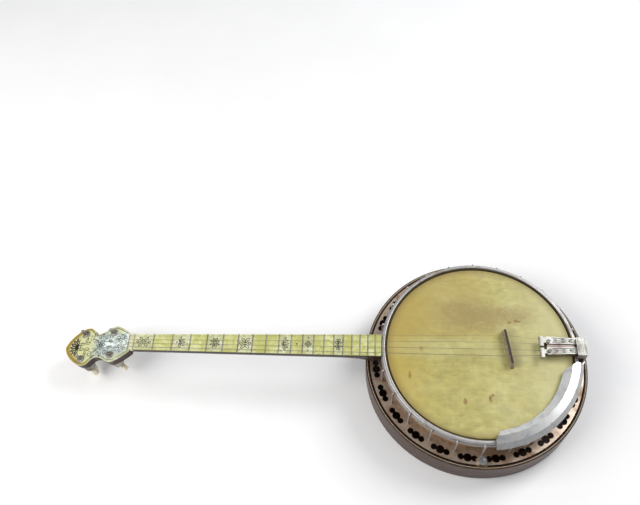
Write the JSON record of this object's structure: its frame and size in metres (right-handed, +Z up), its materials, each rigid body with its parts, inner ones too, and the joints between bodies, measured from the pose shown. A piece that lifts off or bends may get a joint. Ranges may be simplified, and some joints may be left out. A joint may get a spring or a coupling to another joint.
{
  "type": "tenor banjo",
  "caption": "Four-string tenor banjo with a flat-backed resonator, cut-out flange, skin head, armrest, two-arm adjustable tailpiece and geared tuning pegs.",
  "frame": {"origin": "centre of the resonator's flat back, under the centre of the head", "axes": "+Z up out of the playing surface of the head, +X from the neck towards the tailpiece, -Y is the bass side with the armrest"},
  "size_m": [0.8405, 0.347, 0.108],
  "materials": {
    "walnut": "satin",
    "rim_maple": "satin",
    "board_wood": "satin",
    "bridge_wood": "satin",
    "ebony": "satin",
    "calfskin": "satin",
    "pearloid": "gloss",
    "pearloid_engraved": "gloss",
    "bone": "satin",
    "button_cream": "gloss",
    "hoop_nickel": "worn",
    "flange_nickel": "worn",
    "armrest_nickel": "polished",
    "tail_nickel": "worn",
    "peg_nickel": "worn",
    "fret_metal": "worn",
    "string_steel": "bare",
    "ring_brass": "bare",
    "gear_brass": "machined"
  },
  "bodies": {
    "banjo": {"rim_shell": "rim_maple", "tone_ring": "ring_brass", "head_skin": "calfskin", "flesh_hoop": "hoop_nickel", "tension_hoop": "hoop_nickel", "tension_hooks": "hoop_nickel", "hook_nuts": "hoop_nickel", "flange": "flange_nickel", "resonator_back": "walnut", "resonator_side": "walnut", "resonator_lugs": "ring_brass", "resonator_screws": "hoop_nickel", "neck": "walnut", "fingerboard": "board_wood", "frets": "fret_metal", "pearloid_sheet": "pearloid", "peghead_overlay": "pearloid_engraved", "nut": "bone", "dowel_stick": "rim_maple", "neck_brace": "ring_brass", "bridge_body": "bridge_wood", "bridge_cap": "ebony", "tailpiece_bracket": "tail_nickel", "tailpiece_hinge_pin": "fret_metal", "end_bolt": "fret_metal", "armrest": "armrest_nickel", "armrest_clamps": "armrest_nickel", "peg_housings": "peg_nickel", "peg_covers": "peg_nickel", "peg_bushings": "peg_nickel", "strings": "string_steel"},
    "button_1": {"button_1": "button_cream", "sun_gear_1": "gear_brass"},
    "post_1": {"post_1": "peg_nickel"},
    "planet_1a": {"planet_1a": "gear_brass"},
    "planet_1b": {"planet_1b": "gear_brass"},
    "planet_1c": {"planet_1c": "gear_brass"},
    "button_2": {"button_2": "button_cream", "sun_gear_2": "gear_brass"},
    "post_2": {"post_2": "peg_nickel"},
    "planet_2a": {"planet_2a": "gear_brass"},
    "planet_2b": {"planet_2b": "gear_brass"},
    "planet_2c": {"planet_2c": "gear_brass"},
    "button_3": {"button_3": "button_cream", "sun_gear_3": "gear_brass"},
    "post_3": {"post_3": "peg_nickel"},
    "planet_3a": {"planet_3a": "gear_brass"},
    "planet_3b": {"planet_3b": "gear_brass"},
    "planet_3c": {"planet_3c": "gear_brass"},
    "button_4": {"button_4": "button_cream", "sun_gear_4": "gear_brass"},
    "post_4": {"post_4": "peg_nickel"},
    "planet_4a": {"planet_4a": "gear_brass"},
    "planet_4b": {"planet_4b": "gear_brass"},
    "planet_4c": {"planet_4c": "gear_brass"},
    "arm_treble": {"tailpiece_arm_treble": "tail_nickel"},
    "screw_treble": {"tailpiece_screw_treble": "fret_metal"},
    "arm_bass": {"tailpiece_arm_bass": "tail_nickel"},
    "screw_bass": {"tailpiece_screw_bass": "fret_metal"}
  },
  "joints": [
    {"name": "peg_button_1", "type": "hinge", "parent": "banjo", "child": "button_1", "pos_m": [-0.58251, 0.0195, 0.07065], "axis": [-0.2588, 0, 0.9659], "continuous": true},
    {"name": "peg_post_1", "type": "hinge", "parent": "banjo", "child": "post_1", "pos_m": [-0.58251, 0.0195, 0.07065], "axis": [-0.2588, 0, 0.9659], "continuous": true},
    {"name": "planet_1a_spin", "type": "hinge", "parent": "post_1", "child": "planet_1a", "pos_m": [-0.57218, 0.0195, 0.05064], "axis": [-0.2588, 0, 0.9659], "continuous": true},
    {"name": "planet_1b_spin", "type": "hinge", "parent": "post_1", "child": "planet_1b", "pos_m": [-0.57913, 0.02366, 0.04877], "axis": [-0.2588, 0, 0.9659], "continuous": true},
    {"name": "planet_1c_spin", "type": "hinge", "parent": "post_1", "child": "planet_1c", "pos_m": [-0.57913, 0.01534, 0.04877], "axis": [-0.2588, 0, 0.9659], "continuous": true},
    {"name": "peg_button_2", "type": "hinge", "parent": "banjo", "child": "button_2", "pos_m": [-0.6337, 0.022, 0.05693], "axis": [-0.2588, 0, 0.9659], "continuous": true},
    {"name": "peg_post_2", "type": "hinge", "parent": "banjo", "child": "post_2", "pos_m": [-0.6337, 0.022, 0.05693], "axis": [-0.2588, 0, 0.9659], "continuous": true},
    {"name": "planet_2a_spin", "type": "hinge", "parent": "post_2", "child": "planet_2a", "pos_m": [-0.62337, 0.022, 0.03692], "axis": [-0.2588, 0, 0.9659], "continuous": true},
    {"name": "planet_2b_spin", "type": "hinge", "parent": "post_2", "child": "planet_2b", "pos_m": [-0.63033, 0.02616, 0.03506], "axis": [-0.2588, 0, 0.9659], "continuous": true},
    {"name": "planet_2c_spin", "type": "hinge", "parent": "post_2", "child": "planet_2c", "pos_m": [-0.63033, 0.01784, 0.03506], "axis": [-0.2588, 0, 0.9659], "continuous": true},
    {"name": "peg_button_3", "type": "hinge", "parent": "banjo", "child": "button_3", "pos_m": [-0.6337, -0.022, 0.05693], "axis": [-0.2588, 0, 0.9659], "continuous": true},
    {"name": "peg_post_3", "type": "hinge", "parent": "banjo", "child": "post_3", "pos_m": [-0.6337, -0.022, 0.05693], "axis": [-0.2588, 0, 0.9659], "continuous": true},
    {"name": "planet_3a_spin", "type": "hinge", "parent": "post_3", "child": "planet_3a", "pos_m": [-0.62337, -0.022, 0.03692], "axis": [-0.2588, 0, 0.9659], "continuous": true},
    {"name": "planet_3b_spin", "type": "hinge", "parent": "post_3", "child": "planet_3b", "pos_m": [-0.63033, -0.01784, 0.03506], "axis": [-0.2588, 0, 0.9659], "continuous": true},
    {"name": "planet_3c_spin", "type": "hinge", "parent": "post_3", "child": "planet_3c", "pos_m": [-0.63033, -0.02616, 0.03506], "axis": [-0.2588, 0, 0.9659], "continuous": true},
    {"name": "peg_button_4", "type": "hinge", "parent": "banjo", "child": "button_4", "pos_m": [-0.58251, -0.0195, 0.07065], "axis": [-0.2588, 0, 0.9659], "continuous": true},
    {"name": "peg_post_4", "type": "hinge", "parent": "banjo", "child": "post_4", "pos_m": [-0.58251, -0.0195, 0.07065], "axis": [-0.2588, 0, 0.9659], "continuous": true},
    {"name": "planet_4a_spin", "type": "hinge", "parent": "post_4", "child": "planet_4a", "pos_m": [-0.57218, -0.0195, 0.05064], "axis": [-0.2588, 0, 0.9659], "continuous": true},
    {"name": "planet_4b_spin", "type": "hinge", "parent": "post_4", "child": "planet_4b", "pos_m": [-0.57913, -0.01534, 0.04877], "axis": [-0.2588, 0, 0.9659], "continuous": true},
    {"name": "planet_4c_spin", "type": "hinge", "parent": "post_4", "child": "planet_4c", "pos_m": [-0.57913, -0.02366, 0.04877], "axis": [-0.2588, 0, 0.9659], "continuous": true},
    {"name": "arm_treble_hinge", "type": "hinge", "parent": "banjo", "child": "arm_treble", "pos_m": [0.1495, 0.0096, 0.1025], "axis": [0, 1, 0], "range_deg": [0, 3]},
    {"name": "screw_treble_turn", "type": "hinge", "parent": "arm_treble", "child": "screw_treble", "pos_m": [0.1035, 0.0096, 0.1], "axis": [0, 0, 1], "range_deg": [0, 1080.1]},
    {"name": "arm_bass_hinge", "type": "hinge", "parent": "banjo", "child": "arm_bass", "pos_m": [0.1495, -0.0062, 0.1025], "axis": [0, 1, 0], "range_deg": [0, 3]},
    {"name": "screw_bass_turn", "type": "hinge", "parent": "arm_bass", "child": "screw_bass", "pos_m": [0.1035, -0.0062, 0.1], "axis": [0, 0, 1], "range_deg": [0, 1080.1]}
  ],
  "couplings": [
    {"joint": "peg_post_1", "follows": "peg_button_1", "ratio": 0.25},
    {"joint": "planet_1a_spin", "follows": "peg_button_1", "ratio": -0.75},
    {"joint": "planet_1b_spin", "follows": "peg_button_1", "ratio": -0.75},
    {"joint": "planet_1c_spin", "follows": "peg_button_1", "ratio": -0.75},
    {"joint": "peg_post_2", "follows": "peg_button_2", "ratio": 0.25},
    {"joint": "planet_2a_spin", "follows": "peg_button_2", "ratio": -0.75},
    {"joint": "planet_2b_spin", "follows": "peg_button_2", "ratio": -0.75},
    {"joint": "planet_2c_spin", "follows": "peg_button_2", "ratio": -0.75},
    {"joint": "peg_post_3", "follows": "peg_button_3", "ratio": 0.25},
    {"joint": "planet_3a_spin", "follows": "peg_button_3", "ratio": -0.75},
    {"joint": "planet_3b_spin", "follows": "peg_button_3", "ratio": -0.75},
    {"joint": "planet_3c_spin", "follows": "peg_button_3", "ratio": -0.75},
    {"joint": "peg_post_4", "follows": "peg_button_4", "ratio": 0.25},
    {"joint": "planet_4a_spin", "follows": "peg_button_4", "ratio": -0.75},
    {"joint": "planet_4b_spin", "follows": "peg_button_4", "ratio": -0.75},
    {"joint": "planet_4c_spin", "follows": "peg_button_4", "ratio": -0.75},
    {"joint": "screw_treble_turn", "follows": "arm_treble_hinge", "ratio": 360},
    {"joint": "screw_bass_turn", "follows": "arm_bass_hinge", "ratio": 360}
  ]
}
